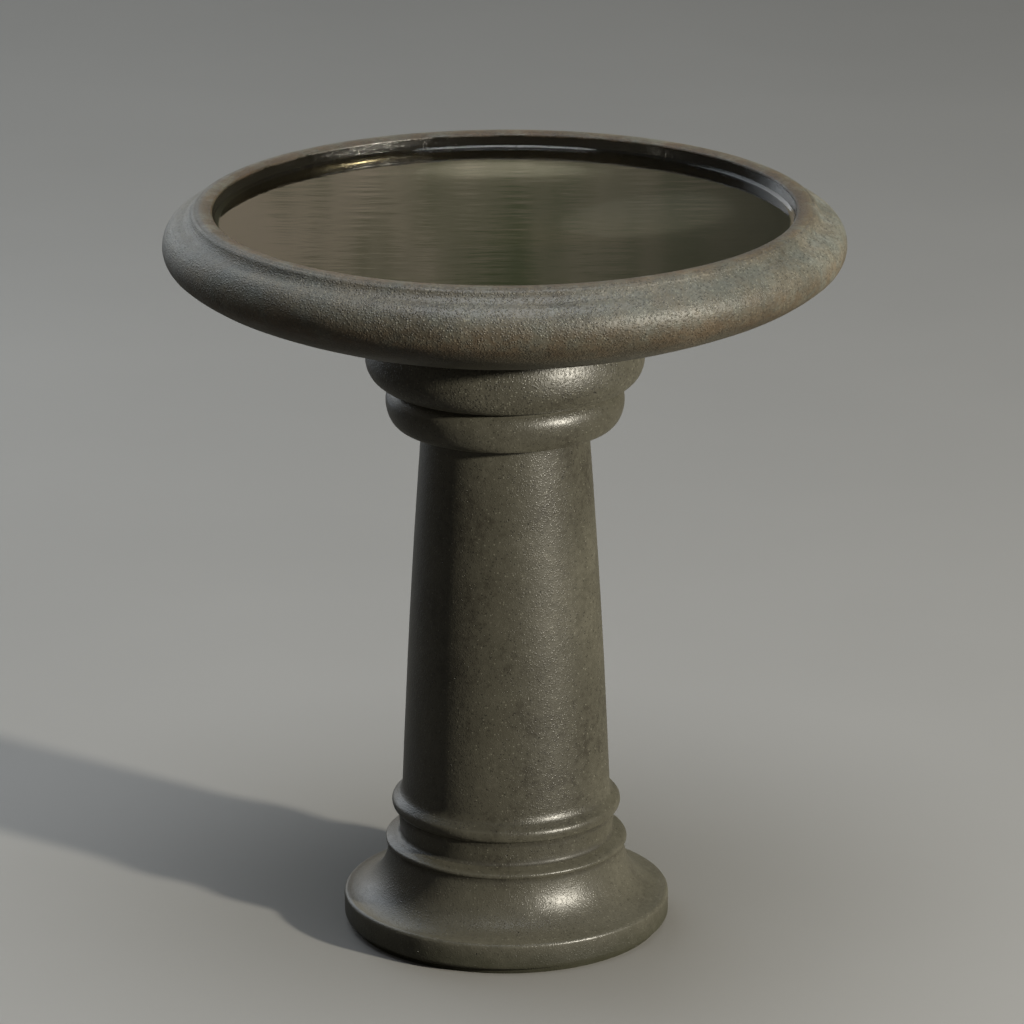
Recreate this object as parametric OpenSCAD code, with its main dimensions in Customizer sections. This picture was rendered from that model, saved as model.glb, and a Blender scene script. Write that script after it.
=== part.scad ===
// Garden bird bath of cast stone: a shallow round bowl that stands on a turned, hollow pedestal.
// Millimetres. The origin is the centre of the foot where it meets the ground, and +Z is up.

/* [Overall] */
// Diameter over the bowl's rolled rim
bowl_d = 510; // [490:1:540]
// Height from the ground to the top of the lip
total_h = 567; // [540:1:640]

/* [Bowl rim] */
// Radius of the roll round the rim, in section
roll_r = 19.2; // [17:0.1:20]
// Width of the flat lip inside the roll
lip_w = 17; // [13:0.5:20]
// Height of the lip above the top of the roll
lip_rise = 8.8; // [7:0.1:10]
// Radius of the lip's rounded outer shoulder
shoulder_r = 4.5; // [3.5:0.1:6]
// Tilt of the shoulder's lower end, from facing straight out
shoulder_a = 28; // [22:1:36]

/* [Bowl dish] */
// Depth of the dish below the foot of the lip
dish_depth = 62; // [50:1:66]
// Radius of the belly where it leaves the roll, in section
belly_turn_r = 100; // [90:1:110]
// Radius of the belly's long sweep to the foot, in section
belly_sweep_r = 450; // [430:5:480]

/* [Bowl foot] */
// Diameter of the rounded foot under the bowl
foot_d = 210; // [204:1:218]
// Radius of the foot's round above its widest line, in section
foot_over_r = 46; // [40:1:60]
// Radius of the foot's round below its widest line, in section
foot_under_r = 20.2; // [17:0.2:22]
// Height of the bowl above its seat
bowl_h = 137; // [134:1:140]
// Diameter of the spigot that centres the bowl in the pedestal
spigot_d = 84; // [70:1:86]
// Length of the spigot
spigot_h = 24; // [12:1:40]

/* [Pedestal] */
// Diameter of the plinth
plinth_d = 249.2; // [240:0.2:256]
// Height of the plinth's upright edge above the ground
plinth_h = 25.6; // [22:0.2:30]
// Depth and height of the shadow gap under the plinth
shadow_gap = 4.4; // [3:0.2:6]
// Diameter of the lower moulding's widest edge
lower_band_d = 185.2; // [182:0.2:190]
// Diameter of the ring at the foot of the shaft
ring_d = 175; // [172:0.5:180]
// Diameter of the shaft at its foot
shaft_foot_d = 158.8; // [154:0.2:162]
// Diameter of the shaft under the capital
shaft_top_d = 127; // [120:0.5:132]
// How far the middle of the shaft swells out beyond a straight taper
shaft_swell = 1.2; // [0:0.1:3]
// Diameter of the capital's rounded moulding
capital_d = 180; // [176:0.5:190]
// Height of the capital's rounded moulding
capital_h = 31.5; // [29:0.5:34]

/* [Seat] */
// Thickness of the three rubber pads that the bowl stands on
pad_t = 0.8; // [0.5:0.1:3]
// Diameter of each pad
pad_d = 22; // [16:1:26]
// Radius of the circle that the pads stand on
pad_ring_r = 66; // [62:1:67]
// Diameter of the socket at the top of the pedestal
socket_d = 90; // [88:1:96]

/* [Hidden] */

$fn = 96;
// Steps along a small round, a large round and the dish
few = 5;
some = 9;
many = 14;

// Heights, measured up from the ground
seat_z = total_h - bowl_h;
pedestal_h = seat_z - pad_t;
roll_z = total_h - lip_rise - roll_r;
roll_x = bowl_d / 2 - roll_r;

// Points along a round in section, about the centre [x, z]
function round_pts(x, z, rx, rz, from, to, steps) =
    [for (i = [0 : steps])
        let (a = from + (to - from) * i / steps)
        [x + rx * cos(a), z + rz * sin(a)]];

// Centre of an arc of radius r that touches point p, where the surface faces angle a
function arc_centre(p, r, a) = [p[0] - r * cos(a), p[1] - r * sin(a)];

// Outer point that lies ra away from point a and rb away from point b
function meeting_point(a, ra, b, rb) =
    let (ab = b - a, d = norm(ab), t = (ra * ra - rb * rb + d * d) / (2 * d))
    a + (t * ab + sqrt(ra * ra - t * t) * [-ab[1], ab[0]]) / d;

// Angle in which point q lies, seen from point p
function facing(p, q) = atan2(q[1] - p[1], q[0] - p[0]);

// --- Bowl -----------------------------------------------------------------

// Where the roll passes into the belly, and where the belly's turn passes into its sweep
roll_end = -49;
turn_end = -66;
roll_end_pt = [roll_x + roll_r * cos(roll_end), roll_z + roll_r * sin(roll_end)];
turn_c = arc_centre(roll_end_pt, belly_turn_r, roll_end);
turn_end_pt = [turn_c[0] + belly_turn_r * cos(turn_end), turn_c[1] + belly_turn_r * sin(turn_end)];
sweep_c = arc_centre(turn_end_pt, belly_sweep_r, turn_end);
// Foot: an open round above its widest line, a tight one below it that ends on the flat seat
foot_r = foot_d / 2;
foot_z = seat_z + foot_under_r - 0.4;
foot_over_c = [foot_r - foot_over_r, foot_z];
foot_under_x = foot_r - foot_under_r;
// Fillet that touches both the sweep and the foot's upper round
foot_fillet = 4;
fillet_c = meeting_point(sweep_c, belly_sweep_r + foot_fillet, foot_over_c, foot_over_r + foot_fillet);
sweep_end = facing(sweep_c, fillet_c);
foot_top = facing(foot_over_c, fillet_c);

// Lip: crowned top, a tight inner edge and a soft shoulder outside
lip_edge = 2.3;
lip_crown = 0.8;
lip_top_z = total_h - lip_crown;
shoulder_x = roll_x - 6.5;
shoulder_z = lip_top_z - shoulder_r;
lip_in_r = shoulder_x + 4.8 - lip_w;

// Cove: the hollow arc that touches both the shoulder and the roll
to_roll = [
    shoulder_x + shoulder_r * cos(shoulder_a) - roll_x,
    shoulder_z + shoulder_r * sin(shoulder_a) - roll_z
];
along = to_roll[0] * cos(shoulder_a) + to_roll[1] * sin(shoulder_a);
cove_r = (to_roll * to_roll - roll_r * roll_r) / (2 * (roll_r - along));
cove_x = shoulder_x + (shoulder_r + cove_r) * cos(shoulder_a);
cove_z = shoulder_z + (shoulder_r + cove_r) * sin(shoulder_a);
cove_end = atan2(cove_z - roll_z, cove_x - roll_x);

// The dish starts a little inside the lip and falls as an ellipse
dish_top_z = lip_top_z - 10.2;
dish_r = lip_in_r - 1;

bowl_outline = concat(
    // dish, from its middle out to the lip
    [for (i = [0 : many])
        let (a = 90 * i / many)
        [dish_r * sin(a), dish_top_z - dish_depth * cos(a)]],
    // inner edge of the lip, its crown and its outer edge
    round_pts(lip_in_r + lip_edge, lip_top_z - lip_edge, lip_edge, lip_edge, 180, 90, few),
    [[lip_in_r + lip_w / 2, total_h]],
    round_pts(shoulder_x, shoulder_z, shoulder_r, shoulder_r, 90, shoulder_a, few),
    // cove, roll and belly
    round_pts(cove_x, cove_z, cove_r, cove_r, 180 + shoulder_a + 8, 180 + cove_end, few),
    round_pts(roll_x, roll_z, roll_r, roll_r, cove_end - 6, 0, some),
    round_pts(roll_x, roll_z, roll_r, roll_r, -6, roll_end, few),
    round_pts(turn_c[0], turn_c[1], belly_turn_r, belly_turn_r, roll_end - 2, turn_end, few),
    round_pts(sweep_c[0], sweep_c[1], belly_sweep_r, belly_sweep_r, turn_end - 1, sweep_end, some),
    // fillet over the foot, the foot's two rounds and the seat
    round_pts(fillet_c[0], fillet_c[1], foot_fillet, foot_fillet, 184 + sweep_end, 180 + foot_top, few),
    round_pts(foot_over_c[0], foot_z, foot_over_r, foot_over_r, foot_top - 4, 0, few),
    round_pts(foot_under_x, foot_z, foot_under_r, foot_under_r, -8, -76, some),
    [[foot_under_x + 3, seat_z], [spigot_d / 2, seat_z]],
    // tapered spigot with a broken edge
    [[spigot_d / 2 - 1, seat_z - spigot_h + 2], [spigot_d / 2 - 3, seat_z - spigot_h]],
    [[0, seat_z - spigot_h]]
);

module bowl() {
    color([0.36, 0.34, 0.29])
        rotate_extrude($fn = 180)
            polygon(bowl_outline);
}

// --- Pedestal -------------------------------------------------------------

plinth_r = plinth_d / 2;
edge_r = 3;
heel_r = 4.2;
// Bell: a hollow sweep from the plinth's edge up to the lower moulding
band_r = lower_band_d / 2;
bell_top_z = plinth_h + 38;
bell_x = plinth_r - 2.6;
bell_rx = bell_x - (band_r - 2);
bell_rz = bell_top_z + 1.4 - plinth_h;
// Lower moulding: a rounded edge under a ledge that falls away from the neck
band_edge = 2.2;
band_z = bell_top_z + 3.8;
neck_r = 81.5;
neck_fillet = 3;
neck_z = band_z + 7.8;
// Ring at the foot of the shaft: round below, with a steeper ledge and a flare above
ring_r = ring_d / 2;
ring_z = band_z + 30.6;
ring_under = [5.2, 6.5];
ring_over = [4, 4.6];
flare = [5, 9];
flare_z = ring_z + 15;
// Capital: a round that is fuller below its widest line, cut flat on top where the pads stand
capital_under = [12.5, 20];
capital_over = [16, 15];
capital_r = capital_d / 2;
capital_z = pedestal_h - 11.5;
capital_cut = asin((pedestal_h - capital_z) / capital_over[1]);
shaft_top_z = pedestal_h - capital_h - 4;
shaft_foot_r = shaft_foot_d / 2;
shaft_top_r = shaft_top_d / 2;
// Thickness of the casting, and the hollow's radius where it meets the ground
wall = 19;
hollow_foot_r = 100;
shaft_hollow_r = shaft_foot_r - wall;

pedestal_outline = concat(
    // hollow, from the socket down to the ground
    [[socket_d / 2, pedestal_h], [socket_d / 2, shaft_top_z - 40]],
    [[shaft_hollow_r, flare_z], [shaft_hollow_r + 7, bell_top_z - 4]],
    [[hollow_foot_r - 3, 12], [hollow_foot_r, 0]],
    // shadow gap, the plinth's rounded heel and its upper edge
    [[plinth_r - shadow_gap * 1.5, 0], [plinth_r - shadow_gap * 1.5, shadow_gap]],
    round_pts(plinth_r - heel_r, shadow_gap + heel_r, heel_r, heel_r, -90, 0, few),
    round_pts(plinth_r - edge_r, plinth_h - edge_r, edge_r, edge_r, 0, 80, few),
    // bell
    round_pts(bell_x, plinth_h + bell_rz, bell_rx, bell_rz, 268, 184, some),
    // lower moulding and its ledge, with a fillet into the upright neck
    round_pts(band_r - band_edge, band_z, band_edge, band_edge, -65, 62, some),
    round_pts(neck_r + neck_fillet, neck_z, neck_fillet, neck_fillet, 262, 180, few),
    // ring
    round_pts(ring_r - ring_under[0], ring_z, ring_under[0], ring_under[1], -85, -10, few),
    round_pts(ring_r - ring_over[0], ring_z, ring_over[0], ring_over[1], 0, 50, few),
    // flare into the shaft, which swells a little between its ends
    round_pts(shaft_foot_r + flare[0], flare_z, flare[0], flare[1], 240, 180, few),
    [for (i = [1 : some - 1])
        let (t = i / some)
        [shaft_foot_r + (shaft_top_r - shaft_foot_r) * t + shaft_swell * sin(180 * t),
            flare_z + (shaft_top_z - flare_z) * t]],
    // fillet under the capital, and the capital's round
    round_pts(shaft_top_r + 3, shaft_top_z - 1, 3, 3, 180, 100, few),
    round_pts(capital_r - capital_under[0], capital_z, capital_under[0], capital_under[1], -80, 0, some),
    round_pts(capital_r - capital_over[0], capital_z, capital_over[0], capital_over[1], 8, capital_cut, few),
    [[capital_r - 7, pedestal_h]]
);

module pedestal() {
    color([0.33, 0.31, 0.27])
        rotate_extrude($fn = 180)
            polygon(pedestal_outline);
}

// --- Pads between the two castings ------------------------------------------

pad_count = 3;

module levelling_pads() {
    color([0.08, 0.08, 0.08])
        for (i = [0 : pad_count - 1])
            rotate([0, 0, 90 + i * 360 / pad_count])
                translate([pad_ring_r, 0, pedestal_h])
                    cylinder(d = pad_d, h = pad_t, $fn = 48);
}

bowl();
pedestal();
levelling_pads();
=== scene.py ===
# %% [markdown]
# # A cast stone bird bath
#
# The bath is two castings: a shallow bowl with a fat rolled rim, and the turned pedestal it stands on.
# Between them lie three thin rubber pads. Both castings are shapes of revolution, so one rule makes
# them both: draw half of the section, then turn it about the upright axis. This lesson draws the two
# sections, turns them with one Geometry Nodes tree, pours the water, and then spends its effort on what
# sells cast stone: fine sand grain, pits, soft mottling, a satin wax and dirt in the hollows.

# %% Load the frame
import math

import bpy
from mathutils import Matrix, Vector


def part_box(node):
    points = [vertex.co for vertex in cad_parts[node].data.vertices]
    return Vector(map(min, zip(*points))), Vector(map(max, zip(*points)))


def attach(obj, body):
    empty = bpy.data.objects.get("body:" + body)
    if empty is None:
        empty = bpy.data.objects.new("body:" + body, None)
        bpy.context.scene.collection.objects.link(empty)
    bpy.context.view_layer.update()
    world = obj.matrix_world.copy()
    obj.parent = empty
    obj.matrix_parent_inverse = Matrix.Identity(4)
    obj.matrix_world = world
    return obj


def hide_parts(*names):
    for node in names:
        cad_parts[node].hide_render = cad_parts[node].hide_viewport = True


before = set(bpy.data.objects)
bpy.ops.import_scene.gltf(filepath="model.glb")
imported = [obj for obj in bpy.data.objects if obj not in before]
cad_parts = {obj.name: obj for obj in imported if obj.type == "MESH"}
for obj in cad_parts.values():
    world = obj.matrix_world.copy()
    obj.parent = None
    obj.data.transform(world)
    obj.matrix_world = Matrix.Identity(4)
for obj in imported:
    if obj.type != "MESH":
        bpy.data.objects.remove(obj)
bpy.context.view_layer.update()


# %% [markdown]
# ## The sizes that drive everything
#
# Every size comes from the design's own boxes, so the sections below follow it if it grows. The pads
# are the datum between the castings: their top is the seat of the bowl, their foot the pedestal's top.

# %% Driving sizes
MM = 0.001

bowl_low, bowl_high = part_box("bowl")
pedestal_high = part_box("pedestal")[1]
pads_low, pads_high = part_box("levelling_pads")

bowl_r = bowl_high[0]
plinth_r = pedestal_high[0]
total_h = bowl_high[2]
seat_z = pads_high[2]
pedestal_h = pads_low[2]
spigot_foot_z = bowl_low[2]
print(f"bowl {2 * bowl_r:.3f} m across, seat at {seat_z:.4f} m, {total_h:.3f} m high")


# %% [markdown]
# ## The camera
#
# A long lens from across the garden, looking down a little into the bowl. A long lens keeps the ellipse
# of the rim and the ellipse of the plinth close to the same roundness, which is how the bath looks when
# you stand well back from it.

# %% Camera
CAMERA_AWAY = 4.460
CAMERA_UP = 1.754
CAMERA_ASIDE = 0.005
CAMERA_DOWN = math.radians(17.74)
CAMERA_ROLL = math.radians(-0.13)
SENSOR_MM = 36.0
LENS_MM = 218.0


def add_camera():
    data = bpy.data.cameras.new("camera")
    data.sensor_width = SENSOR_MM
    data.lens = LENS_MM
    data.clip_end = 60.0
    camera = bpy.data.objects.new("camera", data)
    camera.location = (CAMERA_ASIDE, -CAMERA_AWAY, CAMERA_UP)
    camera.rotation_mode = "ZXY"
    camera.rotation_euler = (math.pi / 2 - CAMERA_DOWN, 0.0, CAMERA_ROLL)
    bpy.context.scene.collection.objects.link(camera)
    bpy.context.scene.camera = camera
    print(f"camera {CAMERA_AWAY:.2f} m away, {CAMERA_UP:.2f} m up, {LENS_MM:.0f} mm lens")


add_camera()


# %% [markdown]
# ## Drawing a section
#
# A moulding is a run of rounds and hollows, so the pencil for it is one function: points along an
# ellipse between two angles. Angles are in degrees: 0 faces outwards, 90 faces up. The other helpers
# find centres the way a mason sets out a template: an arc that carries on smoothly from the end of
# another, or a fillet that touches two rounds at once. Where two runs meet smoothly, the second starts
# a degree or more further on, so that no point is drawn twice.

# %% Helpers for a section
def round_points(x, z, rx, rz, start, stop, steps):
    """Points in order along an ellipse about (x, z)."""
    angles = [math.radians(start + (stop - start) * i / steps) for i in range(steps + 1)]
    return [(x + rx * math.cos(a), z + rz * math.sin(a)) for a in angles]


def on_arc(centre, radius, angle):
    """The point of an arc that lies at an angle from its centre."""
    a = math.radians(angle)
    return centre[0] + radius * math.cos(a), centre[1] + radius * math.sin(a)


def arc_centre(point, radius, angle):
    """Centre of an arc through a point where the surface faces that way."""
    return on_arc(point, -radius, angle)


def bearing(start, end):
    """Angle in which one point lies, seen from another."""
    return math.degrees(math.atan2(end[1] - start[1], end[0] - start[0]))


def meeting_point(a, reach_a, b, reach_b):
    """The outer point that lies at one distance from a and at another from b."""
    gap = math.dist(a, b)
    along = (reach_a**2 - reach_b**2 + gap**2) / (2 * gap)
    aside = math.sqrt(reach_a**2 - along**2)
    way = ((b[0] - a[0]) / gap, (b[1] - a[1]) / gap)
    return a[0] + along * way[0] - aside * way[1], a[1] + along * way[1] + aside * way[0]


def line_points(start, stop, steps):
    """Points along a straight stretch, without its last one."""
    along, up = stop[0] - start[0], stop[1] - start[1]
    return [(start[0] + along * i / steps, start[1] + up * i / steps) for i in range(steps)]


def fill_gaps(points, reach):
    """Adds points wherever two neighbours are further apart than reach."""
    out = []
    for a, b in zip(points, points[1:]):
        steps = max(1, math.ceil(math.dist(a, b) / reach))
        out += line_points(a, b, steps)
    return out + [points[-1]]


# %% [markdown]
# ## The bowl's section
#
# From the middle of the dish outwards: the dish falls as half an ellipse, the lip is a flat band with
# a soft outer shoulder, a shallow cove leads down from it to the roll, and the roll runs into the
# belly. The belly is two arcs, a short turn and a long sweep, and stops in a fillet over the foot. The
# foot is a round, open above its widest line and tight below it, and ends on the flat seat. The spigot
# under it centres the bowl.

# %% Bowl sizes
roll_r = 19.2 * MM
lip_rise = 8.8 * MM
lip_w = 17 * MM
lip_edge = 2.3 * MM
lip_crown = 0.8 * MM
lip_top_z = total_h - lip_crown
roll_x = bowl_r - roll_r
roll_z = total_h - lip_rise - roll_r
shoulder_r = 4.5 * MM
shoulder_a = 28
shoulder_x = roll_x - 6.5 * MM
shoulder_z = lip_top_z - shoulder_r
lip_in_r = shoulder_x + 4.8 * MM - lip_w
dish_depth = 62 * MM
dish_top_z = lip_top_z - 10.2 * MM
dish_r = lip_in_r - 1 * MM
foot_r = 105 * MM
foot_over_r = 46 * MM
foot_under_r = 20.2 * MM
foot_z = seat_z + foot_under_r - 0.4 * MM
foot_fillet = 4 * MM
spigot_r = 42 * MM

# angles at which the roll hands over to the belly's turn, and the turn to its sweep
ROLL_END = -49
TURN_END = -66
print(f"roll centred {roll_x / MM:.1f} mm from the axis, dish {2 * dish_r / MM:.0f} mm across")


# %% Belly and foot
def belly_points():
    """The belly's turn and sweep, the fillet under them and the foot's upper round."""
    turn_r, sweep_r = 100 * MM, 450 * MM
    turn = arc_centre(on_arc((roll_x, roll_z), roll_r, ROLL_END), turn_r, ROLL_END)
    sweep = arc_centre(on_arc(turn, turn_r, TURN_END), sweep_r, TURN_END)
    foot = (foot_r - foot_over_r, foot_z)
    fillet = meeting_point(sweep, sweep_r + foot_fillet, foot, foot_over_r + foot_fillet)
    sweep_end, foot_top = bearing(sweep, fillet), bearing(foot, fillet)
    points = round_points(*turn, turn_r, turn_r, ROLL_END - 2, TURN_END, 10)
    points += round_points(*sweep, sweep_r, sweep_r, TURN_END - 0.5, sweep_end, 30)
    points += round_points(*fillet, foot_fillet, foot_fillet, 190 + sweep_end, 180 + foot_top, 8)
    return points + round_points(*foot, foot_over_r, foot_over_r, foot_top - 1.5, 0, 14)


def seat_points():
    """The foot's tight under round, the flat seat and the spigot."""
    under_x = foot_r - foot_under_r
    chamfer, tip_r, draft = 0.8 * MM, 3 * MM, 1 * MM
    points = round_points(under_x, foot_z, foot_under_r, foot_under_r, -3, -76, 24)
    points += [(under_x + 3 * MM, seat_z), (spigot_r + chamfer, seat_z), (spigot_r, seat_z - chamfer)]
    points += round_points(spigot_r - draft - tip_r, spigot_foot_z + tip_r, tip_r, tip_r, 0, -90, 4)
    return points + [(0.0, spigot_foot_z)]


# %% Lip, cove and dish
def cove_arc():
    """The hollow arc that touches both the shoulder and the roll: its centre, radius and last angle."""
    out = on_arc((0, 0), 1, shoulder_a)
    gap = (shoulder_x + shoulder_r * out[0] - roll_x, shoulder_z + shoulder_r * out[1] - roll_z)
    along = gap[0] * out[0] + gap[1] * out[1]
    radius = (gap[0] ** 2 + gap[1] ** 2 - roll_r**2) / (2 * (roll_r - along))
    centre = on_arc((shoulder_x, shoulder_z), shoulder_r + radius, shoulder_a)
    return centre, radius, bearing((roll_x, roll_z), centre)


def dish_points(steps):
    """The dish, from its middle to its top edge."""
    angles = [math.pi / 2 * i / steps for i in range(steps + 1)]
    return [(dish_r * math.sin(a), dish_top_z - dish_depth * math.cos(a)) for a in angles]


def lip_points():
    """The lip: its inner edge, a crown a hair higher in the middle, and its outer shoulder."""
    middle = lip_in_r + lip_w / 2
    aside, fall = 3 * MM, 0.1 * MM
    points = round_points(lip_in_r + lip_edge, lip_top_z - lip_edge, lip_edge, lip_edge, 180, 92, 7)
    points += [(middle - aside, total_h - fall), (middle, total_h), (middle + aside, total_h - fall)]
    return points + round_points(shoulder_x, shoulder_z, shoulder_r, shoulder_r, 88, shoulder_a, 8)


# %% The whole bowl section
def bowl_section():
    """Half of the bowl's outline, from the spigot's middle round to the middle of the dish."""
    cove, cove_r, cove_end = cove_arc()
    points = dish_points(44) + lip_points()
    points += round_points(*cove, cove_r, cove_r, 180 + shoulder_a + 4, 180 + cove_end, 12)
    points += round_points(roll_x, roll_z, roll_r, roll_r, cove_end - 3, 0, 18)
    points += round_points(roll_x, roll_z, roll_r, roll_r, -4, ROLL_END, 11)
    points += belly_points() + seat_points()
    return fill_gaps(points, 5 * MM)[::-1]


print(f"bowl section has {len(bowl_section())} points")


# %% [markdown]
# ## The pedestal's section
#
# It is drawn from the socket down through the hollow to the ground, then up the outside. Each moulding
# has a job: the recessed heel makes a shadow line so that the plinth seems to float, the bell spreads
# the load, the two ledges catch the light as thin bright rings, and the swollen shaft looks straight
# where a truly straight one would look pinched.

# %% Pedestal sizes
plinth_h = 25.6 * MM
shadow_gap = 4.4 * MM
heel_r = 4.2 * MM
edge_r = 3 * MM
band_r = 92.6 * MM
bell_top_z = plinth_h + 38 * MM
band_z = bell_top_z + 3.8 * MM
band_edge = 2.2 * MM
neck_r = 81.5 * MM
neck_fillet = 3 * MM
ring_r = 87.5 * MM
ring_z = band_z + 30.6 * MM
shaft_foot_r = 79.4 * MM
shaft_top_r = 63.5 * MM
shaft_swell = 1.2 * MM
shaft_foot_z = ring_z + 15 * MM
shaft_top_z = pedestal_h - 35.5 * MM
capital_r = 90 * MM
socket_r = 45 * MM
wall = 19 * MM
print(f"shaft {(shaft_top_z - shaft_foot_z) / MM:.0f} mm long, {2 * shaft_foot_r / MM:.0f} mm at its foot")


# %% Hollow, plinth and mouldings
def hollow_points():
    """The inside of the casting, from the socket down to the ground."""
    bend = shaft_foot_r - wall
    rim = 1 * MM
    socket_end_z = shaft_top_z - 40 * MM
    open_foot_r = 100 * MM
    return [
        (socket_r + rim, pedestal_h), (socket_r, pedestal_h - rim), (socket_r, socket_end_z),
        (bend, shaft_foot_z), (bend + 7 * MM, bell_top_z - 4 * MM),
        (open_foot_r - 3 * MM, 12 * MM), (open_foot_r, 0.0)]


def plinth_points():
    """Shadow gap, rounded heel, upright face, upper edge and the hollow sweep of the bell."""
    gap_r = plinth_r - 1.5 * shadow_gap
    bell_x = plinth_r - 2.6 * MM
    bell_rx = bell_x - (band_r - 2 * MM)
    bell_rz = 39.4 * MM
    points = [(gap_r, 0.0), (gap_r, shadow_gap - 0.6 * MM), (gap_r + 0.6 * MM, shadow_gap)]
    points += round_points(plinth_r - heel_r, shadow_gap + heel_r, heel_r, heel_r, -90, 0, 8)
    points += round_points(plinth_r - edge_r, plinth_h - edge_r, edge_r, edge_r, 0, 80, 8)
    points += round_points(bell_x, plinth_h + bell_rz, bell_rx, bell_rz, 268, 184, 40)
    return points


def moulding_points():
    """Lower moulding, neck, ring and the hollow that leads into the shaft."""
    ring_under = (5.2 * MM, 6.5 * MM)
    ring_over = (4 * MM, 4.6 * MM)
    spread = (5 * MM, 9 * MM)
    neck_foot_z = band_z + 7.8 * MM
    points = round_points(band_r - band_edge, band_z, band_edge, band_edge, -65, 62, 10)
    points += round_points(neck_r + neck_fillet, neck_foot_z, neck_fillet, neck_fillet, 262, 180, 6)
    points += round_points(ring_r - ring_under[0], ring_z, *ring_under, -85, -10, 8)
    points += round_points(ring_r - ring_over[0], ring_z, *ring_over, 0, 50, 6)
    return points + round_points(shaft_foot_r + spread[0], shaft_foot_z, *spread, 240, 180, 8)


# %% Shaft and capital
def shaft_points(steps):
    """A taper that swells a little between its ends."""
    points = []
    for i in range(1, steps):
        t = i / steps
        swell = shaft_swell * math.sin(math.pi * t)
        radius = shaft_foot_r + (shaft_top_r - shaft_foot_r) * t + swell
        points.append((radius, shaft_foot_z + (shaft_top_z - shaft_foot_z) * t))
    return points


def capital_points():
    """Fillet under the capital, its round, and the flat top that carries the pads."""
    fillet = 3 * MM
    under = (12.5 * MM, 20 * MM)
    over = (16 * MM, 15 * MM)
    middle_z = pedestal_h - 11.5 * MM
    cut = math.degrees(math.asin((pedestal_h - middle_z) / over[1]))
    points = round_points(shaft_top_r + fillet, shaft_top_z - 1 * MM, fillet, fillet, 180, 100, 6)
    points += round_points(capital_r - under[0], middle_z, *under, -80, 0, 20)
    points += round_points(capital_r - over[0], middle_z, *over, 4, cut, 14)
    return points + [(capital_r - 7 * MM, pedestal_h)]


# %% The whole pedestal section
def pedestal_section():
    """Half of the pedestal's outline: down the hollow, then up the outside to where it began."""
    inside = fill_gaps(hollow_points(), 25 * MM)
    outside = plinth_points() + moulding_points() + shaft_points(60) + capital_points()
    return inside + fill_gaps(outside + [inside[0]], 4.5 * MM)


print(f"pedestal section has {len(pedestal_section())} points")


# %% [markdown]
# ## Small helpers for node trees
#
# Geometry Nodes and shaders are both graphs of nodes and links. Building them in code reads best when a
# node can be made, filled in and wired in one line, so these helpers do that and nothing more.

# %% Node helpers
def add_node(tree, kind, inputs=None, **settings):
    """Makes a node, sets its own settings, then fills or wires its inputs."""
    node = tree.nodes.new(kind)
    for name, value in settings.items():
        setattr(node, name, value)
    for key, value in (inputs or {}).items():
        socket = node.inputs[key]
        if isinstance(value, bpy.types.NodeSocket):
            tree.links.new(value, socket)
        else:
            socket.default_value = value
    return node


def math_node(tree, operation, a, b=0.0, c=0.0, clamp=False):
    """One sum, and its result."""
    node = add_node(tree, "ShaderNodeMath", {0: a, 1: b, 2: c}, operation=operation, use_clamp=clamp)
    return node.outputs[0]


def vector_node(tree, operation, a, b=(0.0, 0.0, 0.0)):
    """One sum on vectors; the length, distance and dot product come out as a number."""
    node = add_node(tree, "ShaderNodeVectorMath", {0: a, 1: b}, operation=operation)
    single = operation in {"LENGTH", "DISTANCE", "DOT_PRODUCT"}
    return node.outputs["Value" if single else "Vector"]


def tree_socket(tree, name, kind, value=None, out=False):
    """Declares one named input or output of a node group."""
    side = "OUTPUT" if out else "INPUT"
    socket = tree.interface.new_socket(name=name, in_out=side, socket_type=kind)
    if value is not None:
        socket.default_value = value


def weighted_sum(tree, a, share_a, b, share_b):
    """Two values added together, each by its own share."""
    first, second = math_node(tree, "MULTIPLY", a, share_a), math_node(tree, "MULTIPLY", b, share_b)
    return math_node(tree, "ADD", first, second)


# %% [markdown]
# ## The lathe
#
# A potter's wheel and a mason's running mould do the same thing: one section, swept round an axis. The
# tree below takes a section as a chain of points, lays out a grid with one row for each point and one
# column for each step of the turn, and moves every grid corner to its place. Merging by distance closes
# the seam and the poles. Real castings are never quite true, so a seeded noise then takes a few tenths
# of a millimetre off the surface. It only ever takes away, so the stone stays inside its design size.
#
# The tree also measures how far each point stands proud of its smoothed surroundings and stores it as
# the attribute `ridge`: above zero on an edge, below zero in a hollow. The stone uses it to pale the
# edges, as rubbing and painted highlight, and to darken the hollows, as grime and painted shade.

# %% Lathe tree
MERGE_WITHIN = 0.02 * MM
SMOOTHING_PASSES = 10


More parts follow.
